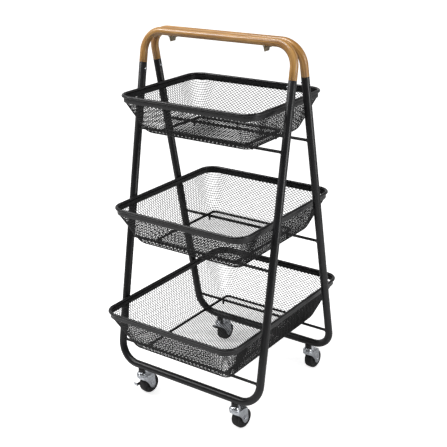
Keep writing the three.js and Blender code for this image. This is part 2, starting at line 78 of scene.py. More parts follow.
# %% [markdown]
# ## Colours and nodes
# Paint charts give sRGB numbers, but a shader works in linear light, so one function turns a hex
# colour into linear. Another adds one node with its settings and links. Most surfaces here are made
# in one go, by spray, bath or mould, so their tone, gloss and relief all drift with the same grain,
# and `finish_surface` ties those three to a surface's noise. The wood film has a recipe of its own.

# %% Colour and node helpers
def colour(hex_text):
    """An sRGB hex colour as linear RGBA."""
    parts = [int(hex_text[i : i + 2], 16) / 255 for i in (1, 3, 5)]
    linear = [c / 12.92 if c <= 0.04045 else ((c + 0.055) / 1.055) ** 2.4 for c in parts]
    return (*linear, 1.0)


def add(tree, kind, links=None, **settings):
    """Adds a node. Settings are its own properties or its inputs' values; links feed its inputs."""
    node = tree.nodes.new(kind)
    for name, value in settings.items():
        if hasattr(node, name):
            setattr(node, name, value)
        else:
            node.inputs[name.replace("_", " ")].default_value = value
    for name, source in (links or {}).items():
        tree.links.new(source, node.inputs[name])
    return node


def new_material(name, **surface):
    """A material with one Principled shader, whose plain values are set on its own sockets."""
    material = bpy.data.materials.new(name)
    material.use_nodes = True
    shader = material.node_tree.nodes["Principled BSDF"]
    for socket, value in surface.items():
        shader.inputs[socket.replace("_", " ")].default_value = value
    return material, material.node_tree, shader


def set_ramp(node, stops):
    """Puts [(place, hex colour)] on a colour ramp."""
    ramp = node.color_ramp
    while len(ramp.elements) < len(stops):
        ramp.elements.new(0.5)
    for element, (place, tone) in zip(ramp.elements, stops):
        element.position = place
        element.color = colour(tone)


def finish_surface(tree, shader, tones, tone_noise, grain, relief, gloss=None):
    """Tone from one noise; relief, as strength and depth, and any change of gloss from another."""
    tone = add(tree, "ShaderNodeValToRGB", {"Fac": tone_noise.outputs["Fac"]})
    set_ramp(tone, tones)
    tree.links.new(tone.outputs["Color"], shader.inputs["Base Color"])
    height = {"Height": grain.outputs["Fac"]}
    bump = add(tree, "ShaderNodeBump", height, Strength=relief[0], Distance=relief[1])
    tree.links.new(bump.outputs["Normal"], shader.inputs["Normal"])
    if gloss:
        value = {"Value": grain.outputs["Fac"]}
        rough = add(tree, "ShaderNodeMapRange", value, To_Min=gloss[0], To_Max=gloss[1])
        tree.links.new(rough.outputs["Result"], shader.inputs["Roughness"])


print("helpers ready for materials")

# %% [markdown]
# ## Studio
# A product like this is shot on white paper in a dark room, with soft boxes. Black steel shows
# little but reflections, so the room matters more than the lights: white paper behind and under
# the cart puts a thin pale line along the edges of each tube, and the dark room in front keeps
# their middles black. A long box overhead draws the highlight along the bars, a key from the left
# lights the handle, and a narrow upright box on the right picks out the edges that face it. The
# plain Standard view keeps white paper white.

# %% Soft boxes
def soft_box(name, place, target, size, power):
    """One soft box: an area light turned to face a point."""
    data = bpy.data.lights.new(name, "AREA")
    data.shape = "RECTANGLE"
    data.size, data.size_y = size
    data.energy = power
    lamp = bpy.data.objects.new(name, data)
    lamp.location = place
    lamp.rotation_euler = (Vector(target) - Vector(place)).to_track_quat("-Z", "Y").to_euler()
    scene.collection.objects.link(lamp)
    return lamp


CART_MIDDLE = (0, 0, 0.45)
soft_box("key_box", (-1.7, -1.4, 2.4), CART_MIDDLE, (0.9, 0.7), 34)
soft_box("overhead_box", (-0.3, -0.6, 2.9), CART_MIDDLE, (2.0, 0.35), 45)
soft_box("edge_box", (1.9, 0.2, 0.9), CART_MIDDLE, (0.5, 1.2), 16)
scene.view_settings.view_transform = "Standard"

# %% Room
PAPER_SIDE = (-0.587, 0.809, 0.0)
room = bpy.data.worlds.new("white_paper_in_a_dark_room")
room.use_nodes = True
tree = room.node_tree
tree.nodes.clear()
direction = add(tree, "ShaderNodeTexCoord").outputs["Generated"]
towards_paper = add(tree, "ShaderNodeVectorMath", {0: direction}, operation="DOT_PRODUCT")
towards_paper.inputs[1].default_value = PAPER_SIDE
upwards = add(tree, "ShaderNodeSeparateXYZ", {0: direction})
paper_glow = add(
    tree, "ShaderNodeMapRange", {"Value": towards_paper.outputs["Value"]},
    interpolation_type="SMOOTHSTEP", From_Min=-0.4, From_Max=0.75, To_Min=0.1, To_Max=0.95,
).outputs["Result"]
ceiling = add(
    tree, "ShaderNodeMapRange", {"Value": upwards.outputs["Z"]},
    interpolation_type="SMOOTHSTEP", From_Min=0.12, From_Max=0.55, To_Min=1.0, To_Max=0.16,
).outputs["Result"]
glow = add(tree, "ShaderNodeMath", {0: paper_glow, 1: ceiling}, operation="MULTIPLY").outputs["Value"]
seen = add(tree, "ShaderNodeLightPath").outputs["Is Camera Ray"]
brightest = add(tree, "ShaderNodeMath", {0: glow, 1: seen}, operation="MAXIMUM").outputs["Value"]
backdrop = add(tree, "ShaderNodeBackground", {"Strength": brightest}, Color=(1, 1, 1, 1))
add(tree, "ShaderNodeOutputWorld", {"Surface": backdrop.outputs["Background"]})
scene.world = room
print("room:", room.name)

# %% [markdown]
# ## Paper floor
# The cart stands on a sheet of white paper lit from behind, so only its contact shadows show. What
# the camera sees of it glows more with distance, as the sheet curves up to the lit background;
# reflections and shadows see plain paper.

# %% Paper floor
FLOOR_SIDE = 24
FLOOR_DROP = 0.0004
paper, tree, shader = new_material("backlit_white_paper", Roughness=0.9, Specular_IOR_Level=0.2)
shader.inputs["Emission Color"].default_value = (1, 1, 1, 1)
to_camera = add(tree, "ShaderNodeLightPath").outputs["Is Camera Ray"]
place = add(tree, "ShaderNodeTexCoord").outputs["Object"]
distance = add(tree, "ShaderNodeVectorMath", {0: place}, operation="LENGTH").outputs["Value"]
further = add(
    tree, "ShaderNodeMapRange", {"Value": distance}, From_Min=0.8, From_Max=3.5, To_Min=0.78, To_Max=1.1
).outputs["Result"]
backlight = add(tree, "ShaderNodeMath", {0: to_camera, 1: further}, operation="MULTIPLY")
tree.links.new(backlight.outputs["Value"], shader.inputs["Emission Strength"])
fibres = add(tree, "ShaderNodeTexNoise", Scale=900.0, Detail=3.0).outputs["Fac"]
tint = add(tree, "ShaderNodeValToRGB", {"Fac": fibres})
set_ramp(tint, [(0.3, "#F2F2F2"), (0.7, "#F6F6F6")])
tree.links.new(tint.outputs["Color"], shader.inputs["Base Color"])
bpy.ops.mesh.primitive_plane_add(size=FLOOR_SIDE, location=(0, 0, -FLOOR_DROP))
floor = bpy.context.object
floor.name = "paper_floor"
floor.data.materials.append(paper)
print("floor is", floor.name)

# %% [markdown]
# ## Powder-coated steel
# The tubes, rims, wires and mesh are mild steel with a black polyester powder coat, sprayed dry
# and baked. It is a plastic film, so it isn't metallic, its index is the usual 1.5, and it looks
# satin: roughness near 0.4. Baking leaves a faint orange peel about 1.5 mm across, drawn with
# noise in bump, and the pigment is a touch uneven. The powder lies smooth and shines most on the
# tubes and rims. On thin wire it lies thinner, and on the mesh's cut strands it is dull and gives
# almost no highlight, so each has its own gloss.

# %% Powder coat
ORANGE_PEEL = 1.5 * MM


def powder_coat(name, dark, light, roughness, peel, shine):
    """Baked black powder: slight tone change, orange peel and a roughness that wanders a little."""
    material, tree, shader = new_material(
        name, IOR=1.5, Specular_IOR_Level=shine, Coat_Weight=0.08, Coat_Roughness=0.3
    )
    place = add(tree, "ShaderNodeTexCoord").outputs["Object"]
    cloud = add(tree, "ShaderNodeTexNoise", {"Vector": place}, Scale=1 / (60 * MM), Detail=4.0)
    grain = add(tree, "ShaderNodeTexNoise", {"Vector": place}, Scale=1 / ORANGE_PEEL, Detail=2.0)
    gloss = (roughness - 0.05, roughness + 0.07)
    tones = [(0.3, dark), (0.7, light)]
    finish_surface(tree, shader, tones, cloud, grain, (peel, 0.05 * MM), gloss)
    return material


tube_coat = powder_coat("black_powder_coat_tube", "#1A1A1B", "#222224", 0.34, 0.5, 0.36)
rim_coat = powder_coat("black_powder_coat_rim", "#151516", "#1C1C1E", 0.34, 0.4, 0.42)
wire_coat = powder_coat("black_powder_coat_wire", "#0D0D0E", "#131314", 0.38, 0.35, 0.3)
mesh_coat = powder_coat("black_powder_coat_mesh", "#121213", "#19191A", 0.5, 0.3, 0.2)
print("powder coats:", tube_coat.name, rim_coat.name, wire_coat.name, mesh_coat.name)

# %% [markdown]
# ## Bamboo-look film
# The handle is steel tube wrapped in a printed wood film, cured under a satin lacquer. Bamboo
# reads as long straight fibres, 1 to 3 mm apart, running along the tube and through its bends.
# A noise in ordinary space would run straight through the bend, so each tube carries an attribute
# of straightened space, across and along, and the noise is stretched in that. The lacquer is a
# coat of its own, which gives the handle its long bright line.

# %% Bamboo film
FIBRE = 1.6 * MM
FIBRE_LENGTH = 70 * MM
bamboo, tree, shader = new_material(
    "bamboo_look_lacquered_film", IOR=1.5, Coat_Weight=0.6, Coat_Roughness=0.16
)
along = add(tree, "ShaderNodeAttribute", attribute_name="straightened").outputs["Vector"]
stretch = add(tree, "ShaderNodeVectorMath", {0: along}, operation="MULTIPLY")
stretch.inputs[1].default_value = (1 / FIBRE, 1 / FIBRE, 1 / FIBRE_LENGTH)
fibre = add(
    tree, "ShaderNodeTexNoise", {"Vector": stretch.outputs[0]}, Scale=1.0, Detail=5.0
).outputs["Fac"]
broad = add(tree, "ShaderNodeVectorMath", {0: along}, operation="MULTIPLY")
broad.inputs[1].default_value = (1 / (9 * MM), 1 / (9 * MM), 1 / (160 * MM))
band = add(tree, "ShaderNodeTexNoise", {"Vector": broad.outputs[0]}, Scale=1.0, Detail=2.0).outputs["Fac"]
body_tone = add(tree, "ShaderNodeValToRGB", {"Fac": band})
set_ramp(body_tone, [(0.32, "#8A5A28"), (0.5, "#AD7A3B"), (0.68, "#CB9853")])
streak = add(tree, "ShaderNodeValToRGB", {"Fac": fibre})
set_ramp(streak, [(0.36, "#683E15"), (0.5, "#B58446"), (0.64, "#DFB472")])
wood = add(tree, "ShaderNodeMix", data_type="RGBA", blend_type="MIX", Factor=0.55)
tree.links.new(body_tone.outputs["Color"], wood.inputs[6])
tree.links.new(streak.outputs["Color"], wood.inputs[7])
tree.links.new(wood.outputs[2], shader.inputs["Base Color"])
satin = add(tree, "ShaderNodeMapRange", {"Value": fibre}, To_Min=0.36, To_Max=0.52)
tree.links.new(satin.outputs["Result"], shader.inputs["Roughness"])
pores = add(tree, "ShaderNodeBump", {"Height": fibre}, Strength=0.25, Distance=0.08 * MM)
tree.links.new(pores.outputs["Normal"], shader.inputs["Normal"])
print("handle finish:", bamboo.name)

# %% [markdown]
# ## Plated metals
# The caster forks are stamped steel, barrel-plated in bright zinc: metallic, a slightly blue pale
# grey, roughness about 0.25, with the soft unevenness of a stamping. The clips under the handle
# are dull nickel over brass, which is warmer and rougher. Metals keep the default index.

# %% Plating
def plating(name, dark, light, smooth, dull, dent):
    """A plated stamping: tone and gloss drift over a few millimetres, and the surface ripples."""
    material, tree, shader = new_material(name, Metallic=1.0)
    place = add(tree, "ShaderNodeTexCoord").outputs["Object"]
    drift = add(tree, "ShaderNodeTexNoise", {"Vector": place}, Scale=1 / (9 * MM), Detail=5.0)
    tones = [(0.3, dark), (0.7, light)]
    finish_surface(tree, shader, tones, drift, drift, (dent, 0.3 * MM), (smooth, dull))
    return material


zinc = plating("bright_zinc_plate", "#C4C8CE", "#DADDE2", 0.2, 0.34, 0.12)
nickel = plating("dull_nickel_plate", "#8C7F6C", "#A8997F", 0.32, 0.46, 0.12)
print("platings:", zinc.name, nickel.name)

# %% [markdown]
# ## Nylon and rubber
# The collars and wheel centres are moulded black nylon, with the fine spark texture of the mould.
# The tread is matt rubber: darker in its pores, nearly no gloss, and a little greyer than the nylon.
# Both are dielectrics with an index near 1.5.

# %% Mouldings
def moulding(name, dark, light, roughness, grit, depth):
    """A moulded plastic or rubber with a fine grit of the given size."""
    material, tree, shader = new_material(name, IOR=1.5, Roughness=roughness)
    place = add(tree, "ShaderNodeTexCoord").outputs["Object"]
    speck = add(tree, "ShaderNodeTexNoise", {"Vector": place}, Scale=1 / grit, Detail=3.0)
    tones = [(0.35, dark), (0.65, light)]
    finish_surface(tree, shader, tones, speck, speck, (depth, 0.1 * MM))
    return material


nylon = moulding("black_moulded_nylon", "#131314", "#1C1C1E", 0.45, 0.8 * MM, 0.3)
rubber = moulding("black_tread_rubber", "#161617", "#242426", 0.68, 1.2 * MM, 0.4)
print("mouldings:", nylon.name, rubber.name)

# %% [markdown]
# ## Making meshes
# Nearly everything here is either a section swept along a bent line or a profile turned about an
# axis, so there is one function for each. Both build their rings in numpy and hand Blender a
# closed mesh of quads. `finish_piece` gives a mesh its finish, hides the plain CAD node that it
# stands for, and makes it ride on the same body.

# %% Putting a piece in place
BODIES = frame["record"]["behaviour"]["bodies"]
BODY_OF = {node: body for body, nodes in BODIES.items() for node in nodes}


def mesh_from(name, points, faces):
    """A mesh from points and faces, checked for anything broken."""
    mesh = bpy.data.meshes.new(name)
    mesh.from_pydata([tuple(p) for p in points], [], [tuple(f) for f in faces])
    mesh.validate()
    mesh.update()
    return mesh


def finish_piece(mesh, material, *nodes, smooth_angle=40):
    """Puts a mesh in the scene in place of one or more CAD nodes, riding on their body."""
    made = bpy.data.objects.new(mesh.name, mesh)
    scene.collection.objects.link(made)
    mesh.materials.clear()
    mesh.materials.append(material)
    mesh.shade_smooth()
    mesh.set_sharp_from_angle(angle=math.radians(smooth_angle))
    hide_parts(*nodes)
    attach(made, BODY_OF[nodes[0]])
    return made


# %% Sweeping a section
def unit(vector):
    return vector / np.linalg.norm(vector)


def quadratic(start, corner, end, steps):
    """Points of a bend that leaves one line and joins another, cutting off their corner."""
    along = np.linspace(0, 1, steps + 1)
    return [(1 - t) ** 2 * start + 2 * t * (1 - t) * corner + t**2 * end for t in along]


def circle(radius, sides):
    angles = np.arange(sides) * 2 * np.pi / sides
    return np.stack([radius * np.cos(angles), radius * np.sin(angles)], 1)


def bent_path(corners, radius, steps, closed=False):
    """Places and headings along straight runs joined by round bends."""
    corners = [np.asarray(c, float) for c in corners]
    count = len(corners)
    places, heads = [], []
    if not closed:
        places.append(corners[0])
        heads.append(unit(corners[1] - corners[0]))
    for i in range(0 if closed else 1, count if closed else count - 1):
        arriving = unit(corners[i] - corners[i - 1])
        leaving = unit(corners[(i + 1) % count] - corners[i])
        whole = math.acos(np.clip(arriving @ leaving, -1, 1))
        inward = unit(leaving - arriving * (leaving @ arriving))
        start = corners[i] - arriving * radius * math.tan(whole / 2)
        for angle in np.linspace(0, whole, steps + 1):
            sideways = inward * radius * (1 - math.cos(angle))
            places.append(start + sideways + arriving * radius * math.sin(angle))
            heads.append(arriving * math.cos(angle) + inward * math.sin(angle))
    if not closed:
        places.append(corners[-1])
        heads.append(unit(corners[-1] - corners[-2]))
    return np.array(places), np.array(heads)


def sweep(name, places, heads, normal, section, closed=False, scales=None):
    """A section swept along a flat path. Section x points inside the bends, y along the normal."""
    normal = np.asarray(normal, float)
    sides = np.cross(normal, heads)
    count, around = len(places), len(section)
    scales = np.ones(count) if scales is None else np.asarray(scales)
    sections = section[None] * scales[:, None, None]
    rings = places[:, None] + sections[..., :1] * sides[:, None] + sections[..., 1:] * normal
    faces = []
    for i in range(count if closed else count - 1):
        here, there = i * around, (i + 1) % count * around
        for k in range(around):
            m = (k + 1) % around
            faces.append((here + k, here + m, there + m, there + k))
    if not closed:
        faces.append(tuple(reversed(range(around))))
        faces.append(tuple((count - 1) * around + k for k in range(around)))
    mesh = mesh_from(name, rings.reshape(-1, 3), faces)
    steps = np.linalg.norm(np.diff(places, axis=0), axis=1)
    travelled = np.concatenate([[0], np.cumsum(steps)])
    lengths = np.broadcast_to(travelled[:, None, None], (count, around, 1))
    straight = np.concatenate([sections, lengths], axis=2)
    held = mesh.attributes.new("straightened", "FLOAT_VECTOR", "POINT")
    held.data.foreach_set("vector", straight.reshape(-1).astype(np.float32))
    return mesh


def eased_ends(places, heads, radius, ease):
    """Adds rings that round off both open ends of a bar, and the scale of every ring."""
    bow = [(0.0, 1 - ease / radius), (0.3, 1 - 0.45 * ease / radius), (1.0, 1.0)]
    first = [places[0] + heads[0] * ease * t for t, _ in bow]
    last = [places[-1] - heads[-1] * ease * t for t, _ in reversed(bow)]
    middle = len(places) - 2
    scales = [s for _, s in bow] + [1.0] * middle + [s for _, s in reversed(bow)]
    all_places = np.array(first + list(places[1:-1]) + last)
    all_heads = np.array([heads[0]] * 3 + list(heads[1:-1]) + [heads[-1]] * 3)
    return all_places, all_heads, scales


# %% Turning a profile
ON_AXIS = 1e-9


def turned(name, profile, place=(0, 0, 0), axis=(0, 0, 1), segments=48):
    """A profile of (radius, height) pairs turned about an axis. A ring's profile closes itself."""
    profile = np.asarray(profile, float)
    angles = np.arange(segments) * 2 * np.pi / segments
    points, rows = [], []
    for radius, height in profile:
        ring = [(radius * math.cos(a), radius * math.sin(a), height) for a in angles]
        if radius < ON_AXIS:
            ring = [(0, 0, height)]
        rows.append(range(len(points), len(points) + len(ring)))
        points += ring
    is_ring = profile[0][0] > ON_AXIS
    faces = []
    for i in range(len(rows) if is_ring else len(rows) - 1):
        low, high = rows[i], rows[(i + 1) % len(rows)]
        for k in range(segments):
            m = (k + 1) % segments
            quad = [low[k % len(low)], low[m % len(low)], high[m % len(high)], high[k % len(high)]]
            faces.append(tuple(dict.fromkeys(quad)))
    mesh = mesh_from(name, points, faces)
    upright = Vector((0, 0, 1)).rotation_difference(Vector(axis)).to_matrix().to_4x4()
    mesh.transform(Matrix.Translation(Vector(place)) @ upright)
    return mesh


def softened(profile, reach, steps=3, closed=False):
    """Rounds the corners of a flat outline, as a press or a mould does."""
    profile = [np.array(p, float) for p in profile]
    count = len(profile)
    out = [] if closed else [profile[0]]
    for i in range(0 if closed else 1, count if closed else count - 1):
        before, corner, after = profile[i - 1], profile[i], profile[(i + 1) % count]
        room = min(reach, np.linalg.norm(corner - before) * 0.45, np.linalg.norm(after - corner) * 0.45)
        start = corner + unit(before - corner) * room
        end = corner + unit(after - corner) * room
        out += quadratic(start, corner, end, steps)
    return np.array(out if closed else out + [profile[-1]])


# %% Cutting and joining
def object_of(mesh):
    """A passing object that only holds a mesh while a modifier works on it."""
    holder = bpy.data.objects.new(mesh.name, mesh)
    scene.collection.objects.link(holder)
    return holder


def modified(mesh, *modifiers):
    """A mesh as its modifiers leave it. Each modifier is a kind and its settings."""
    holder = object_of(mesh)
    for kind, settings in modifiers:
        modifier = holder.modifiers.new(kind.lower(), kind)
        for name, value in settings.items():
            setattr(modifier, name, value)
    bpy.context.view_layer.update()
    graph = bpy.context.evaluated_depsgraph_get()
    result = bpy.data.meshes.new_from_object(
        holder.evaluated_get(graph), preserve_all_data_layers=True, depsgraph=graph
    )
    result.name = mesh.name
    bpy.data.objects.remove(holder)
    return result


def combine(mesh, tool, operation):
    """One closed mesh cut by, joined to or kept within another."""
    tool_holder = object_of(tool)
    settings = {"operation": operation, "object": tool_holder, "solver": "EXACT"}
    result = modified(mesh, ("BOOLEAN", settings))
    bpy.data.objects.remove(tool_holder)
    return result


def bevelled(mesh, width, segments=2, angle=35):
    """Small round edges, where the part was sheared, pressed or moulded."""
    limit = {"limit_method": "ANGLE", "angle_limit": math.radians(angle)}
    return modified(mesh, ("BEVEL", {"width": width, "segments": segments, **limit}))


def plate(name, outline, low, high, to_place=Matrix.Identity(4)):
    """A flat outline made solid from one height to another, then turned to its place."""
    count = len(outline)
    points = [(x, y, low) for x, y in outline] + [(x, y, high) for x, y in outline]
    faces = [tuple(reversed(range(count))), tuple(range(count, 2 * count))]
    faces += [(k, (k + 1) % count, count + (k + 1) % count, count + k) for k in range(count)]
    mesh = mesh_from(name, points, faces)
    mesh.transform(to_place)
    return mesh


def moved(mesh, name, matrix):
    """A copy of a mesh in another place."""
    copy = mesh.copy()
    copy.name = name
    copy.transform(matrix)
    return copy


def together(name, *meshes):
    """Several meshes as one, left as separate shells."""
    points, faces = [], []
    for mesh in meshes:
        first = len(points)
        points += [tuple(v.co) for v in mesh.vertices]
        faces += [tuple(first + k for k in face.vertices) for face in mesh.polygons]
    return mesh_from(name, points, faces)


# %% [markdown]
# ## Where things are
# Every place is read off the frame. The crossbars of the front loop lie in its plane, so the line
# through two of them gives its lean, and the caster joints stand under the bottom bars, so they
# give the foot. The rear loop is the front one turned half way round.

# %% Driving places
TUBE_RADIUS = 9.5 * MM


def centre(node):
    low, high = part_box(node)
    return (low + high) / 2


joint_of = {joint["name"]: joint for joint in frame["joints"]}
bar_low = centre("front_crossbar_bottom")
bar_high = centre("front_crossbar_top")
lean = math.atan2(bar_high.y - bar_low.y, bar_high.z - bar_low.z)
foot_y = joint_of["front_left_swivel_turn"]["pos_m"][1]
foot_z = bar_low.z - (bar_low.y - foot_y) / math.tan(lean)
leg_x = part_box("front_lower_frame")[1].x - TUBE_RADIUS
top_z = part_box("front_handle_tube")[1].z - TUBE_RADIUS
loop_length = (top_z - foot_z) / math.cos(lean)
up_leg = np.array((0, math.sin(lean), math.cos(lean)))
off_plane = np.array((0, -math.cos(lean), math.sin(lean)))
foot = np.array((0, foot_y, foot_z))
lower_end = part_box("front_lower_frame")[1].z - TUBE_RADIUS * math.sin(lean)
joint_s = (lower_end - foot_z) / math.cos(lean)
half_turn = Matrix.Rotation(math.pi, 4, "Z")
print("lean", round(math.degrees(lean), 2))
print("loop mm", round(loop_length / MM), "joint at", round(joint_s / MM))


def on_loop(x, s):
    """A point of the front loop's plane, x across and s up the leg."""
    return np.array((x, 0, 0)) + foot + up_leg * s


# %% [markdown]
# ## Loops and handle
# Tube is bent cold on a mandrel, so each bend keeps its round section. The lower tube is a U on
# its bottom bar. The handle tube closes the loop at the top, and its spigots plug into the legs,
# which leaves a hairline joint. The sawn ends are eased a little, and the easing catches the light.

# %% Tubes
BOTTOM_BEND = 51.5 * MM
TOP_BEND = 50 * MM
END_EASE = 0.45 * MM
JOINT_GAP = 0.3 * MM
TUBE_SIDES = 48
BEND_STEPS = 22


def bent_tubes(name, corners, bend, material, node):
    """One tube for the front loop, and the same turned half way round for the rear."""
    for side in ("front", "rear"):
        places, heads = bent_path([on_loop(x, s) for x, s in corners], bend, BEND_STEPS)
        places, heads, scales = eased_ends(places, heads, TUBE_RADIUS, END_EASE)
        section = circle(TUBE_RADIUS, TUBE_SIDES)
        mesh = sweep(f"{side}_{name}", places, heads, off_plane, section, scales=scales)
        if side == "rear":
            mesh.transform(half_turn)
        finish_piece(mesh, material, f"{side}_{node}")


joint_top = joint_s + JOINT_GAP
lower_corners = [(-leg_x, joint_s), (-leg_x, 0), (leg_x, 0), (leg_x, joint_s)]
handle_corners = [(-leg_x, joint_top), (-leg_x, loop_length), (leg_x, loop_length), (leg_x, joint_top)]
bent_tubes("lower_tube", lower_corners, BOTTOM_BEND, tube_coat, "lower_frame")
bent_tubes("handle_grip", handle_corners, TOP_BEND, bamboo, "handle_tube")

# %% [markdown]
# ## Crossbars
# Each crossbar is drawn rod, welded between the legs. The weld leaves a small concave fillet where
# rod meets tube, so the rod is a turned profile that flares at both ends, into the tube's wall.

# %% Crossbars
ROD_RADIUS = 3.5 * MM
FILLET = 2.6 * MM
WELD_SINK = 2.2 * MM


def welded_rod(name, middle, half_length):
    flare = [(half_length + WELD_SINK, FILLET), (half_length + 0.2 * MM, 0.62 * FILLET)]
    flare += [(half_length - 1.2 * MM, 0.2 * FILLET), (half_length - 3.2 * MM, 0)]
    right = [(ROD_RADIUS + extra, x) for x, extra in flare]
    left = [(radius, -x) for radius, x in reversed(right)]
    profile = [(0, right[0][1])] + right + left + [(0, left[-1][1])]
    return turned(name, profile[::-1], place=middle, axis=(1, 0, 0), segments=32)


for side in ("front", "rear"):
    for level in ("top", "middle", "bottom"):
        node = f"{side}_crossbar_{level}"
        half_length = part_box(node)[1].x
        finish_piece(welded_rod(f"{side}_{level}_rod", centre(node), half_length), wire_coat, node)
print("crossbars made, half length mm:", round(half_length / MM, 1))

# %% [markdown]
# ## Screws
# Pan-head screws with a cross recess hold the handle in the legs, and two more come up through
# each clip. The head is a turned dome, and the cross is cut out of it by two crossed wedges, as
# the header's punch does. A screw is made once, upright, and each copy is turned to its seat.

# %% Screws
SCREW_HEAD_RADIUS = 3.4 * MM
SCREW_HEAD_HEIGHT = 2.2 * MM
SCREW_SHANK_RADIUS = 1.7 * MM
SCREW_LENGTH = 9 * MM
LEG_SCREW_DROP = 15 * MM
CLIP_THICKNESS = 1.8 * MM


def pan_head(name):
    """A screw whose head faces +Z and bears on z = 0, with its shank below."""
    head, thick, thin = SCREW_HEAD_RADIUS, SCREW_HEAD_HEIGHT, SCREW_SHANK_RADIUS
    quarter = np.linspace(0, math.pi / 2, 8)
    dome = [(head * math.sin(a), thick * (0.4 + 0.6 * math.cos(a))) for a in quarter]
    shank = [(head, 0), (thin, 0), (thin, -SCREW_LENGTH), (0, -SCREW_LENGTH)]
    head = turned(name, (dome + shank)[::-1], segments=32)
    wedge = [(-0.4 * MM, 0.9 * MM), (0.4 * MM, 0.9 * MM), (0.55 * MM, 3 * MM), (-0.55 * MM, 3 * MM)]
    for turn_by in (0, math.pi / 2):
        lay = Matrix.Rotation(turn_by, 4, "Z") @ Matrix.Rotation(math.pi / 2, 4, "X")
        head = combine(head, plate("recess", wedge, -1.9 * MM, 1.9 * MM, lay), "DIFFERENCE")
    return head


def seated(mesh, name, seat, facing, is_rear):
    """A copy of an upright piece on its seat. A rear seat is given as its front twin's."""
    seat, facing = Vector(seat), Vector(facing)
    if is_rear:
        seat.y, facing.y = -seat.y, -facing.y
    turn_to = Vector((0, 0, 1)).rotation_difference(facing).to_matrix().to_4x4()
    return moved(mesh, name, Matrix.Translation(seat) @ turn_to)


screw = pan_head("screw")
clip_seat_s = loop_length - TUBE_RADIUS - CLIP_THICKNESS - 3 * JOINT_GAP
for side in ("front", "rear"):
    for hand, sign in (("left", -1), ("right", 1)):
        leg = f"{side}_{hand}_leg_screw"
        leg_seat = on_loop(sign * (leg_x - TUBE_RADIUS - JOINT_GAP), joint_s - LEG_SCREW_DROP)
        finish_piece(seated(screw, leg + "_head", leg_seat, (-sign, 0, 0), side == "rear"), zinc, leg)
        clip = f"{side}_{hand}_clip_screw"
        clip_seat = on_loop(centre(clip).x, clip_seat_s)
        finish_piece(seated(screw, clip + "_head", clip_seat, -up_leg, side == "rear"), nickel, clip)
print("screw faces:", len(screw.polygons), "clip seat z mm", round(clip_seat[2] / MM, 1))

# %% [markdown]
# ## Handle clips
# Two plated strips tie the two top bars together from below. Each is bent to a very shallow V, so
# that it is square to both screws, and has one edge bent down into a tapering web that stiffens it.
# It is an outline seen along the handle, given its width, trimmed to round corners in plan, joined
# to its web and eased along its edges.

# %% Handle clips
CLIP_WIDTH = 12 * MM
CLIP_REACH = 3.8 * MM
CLIP_CORNER = 2.4 * MM
WEB_DROP = 10 * MM
WEB_TOP_HALF = 13 * MM
WEB_FOOT_HALF = 9 * MM


def loop_yz(out, along):
    """A point of the front loop as (y, z): out of its plane towards the rear, and up the leg."""
    point = foot + up_leg * along - off_plane * out
    return np.array((point[1], point[2]))


def on_middle(along):
    return loop_yz((-foot_y - along * math.sin(lean)) / math.cos(lean), along)


AXES_YZ_ALONG_X = Matrix(((0, 0, 1, 0), (1, 0, 0, 0), (0, 1, 0, 0), (0, 0, 0, 1)))
top_face = loop_length - TUBE_RADIUS - JOINT_GAP
bottom_face = top_face - CLIP_THICKNESS
outer = [loop_yz(-CLIP_REACH, top_face), loop_yz(-CLIP_REACH, bottom_face)]
mirrored = [np.array((-y, z)) for y, z in outer[::-1]]
clip_outline = outer + [on_middle(bottom_face)] + mirrored + [on_middle(top_face)]
half_span = max(abs(y) for y, _ in clip_outline)
inside = on_middle((top_face + bottom_face) / 2)
web_top = inside[1] + WEB_TOP_HALF * math.tan(lean)
web_foot = inside[1] - WEB_DROP
web_outline = [
    (0, inside[1]),
    (-WEB_TOP_HALF, web_top),
    (-WEB_FOOT_HALF, web_foot),
    (WEB_FOOT_HALF, web_foot),
    (WEB_TOP_HALF, web_top),
]
for hand in ("left", "right"):
    x = centre(f"{hand}_handle_clip").x
    web_x = x - CLIP_WIDTH / 2
    strip = plate(f"{hand}_clip_strip", clip_outline, web_x, x + CLIP_WIDTH / 2, AXES_YZ_ALONG_X)
    corners = [(x + i * CLIP_WIDTH / 2, j * half_span) for i, j in ((-1, -1), (1, -1), (1, 1), (-1, 1))]
    round_plan = softened(corners, CLIP_CORNER, steps=4, closed=True)
    strip = combine(strip, plate("plan", round_plan, top_z - 40 * MM, top_z + 10 * MM), "INTERSECT")
    web = plate("web", web_outline, web_x, web_x + CLIP_THICKNESS, AXES_YZ_ALONG_X)
    strip = combine(strip, web, "UNION")
    finish_piece(bevelled(strip, 0.3 * MM), nickel, f"{hand}_handle_clip")
print("clip spans mm:", round(2 * half_span / MM, 1))

# %% [markdown]
# ## Basket rims
# The rim is one strip of sheet steel. Its top edge is rolled to a bead that overhangs the flat
# band below it by a millimetre, and a shorter fold inside grips the edge of the mesh. That section
# is swept once round the rim. Section x points into the basket and y up, from the bead's own height.

# %% Rims
BEAD_RADIUS = 3.6 * MM
BEAD_SHIFT = 1 * MM
BAND_THICKNESS = 1.6 * MM
RIM_CORNER = 33.4 * MM
RIM_BEND_STEPS = 14
LEVELS = ("top", "middle", "bottom")


def rectangle(half_x, half_y, z):
    return [(half_x, -half_y, z), (half_x, half_y, z), (-half_x, half_y, z), (-half_x, -half_y, z)]


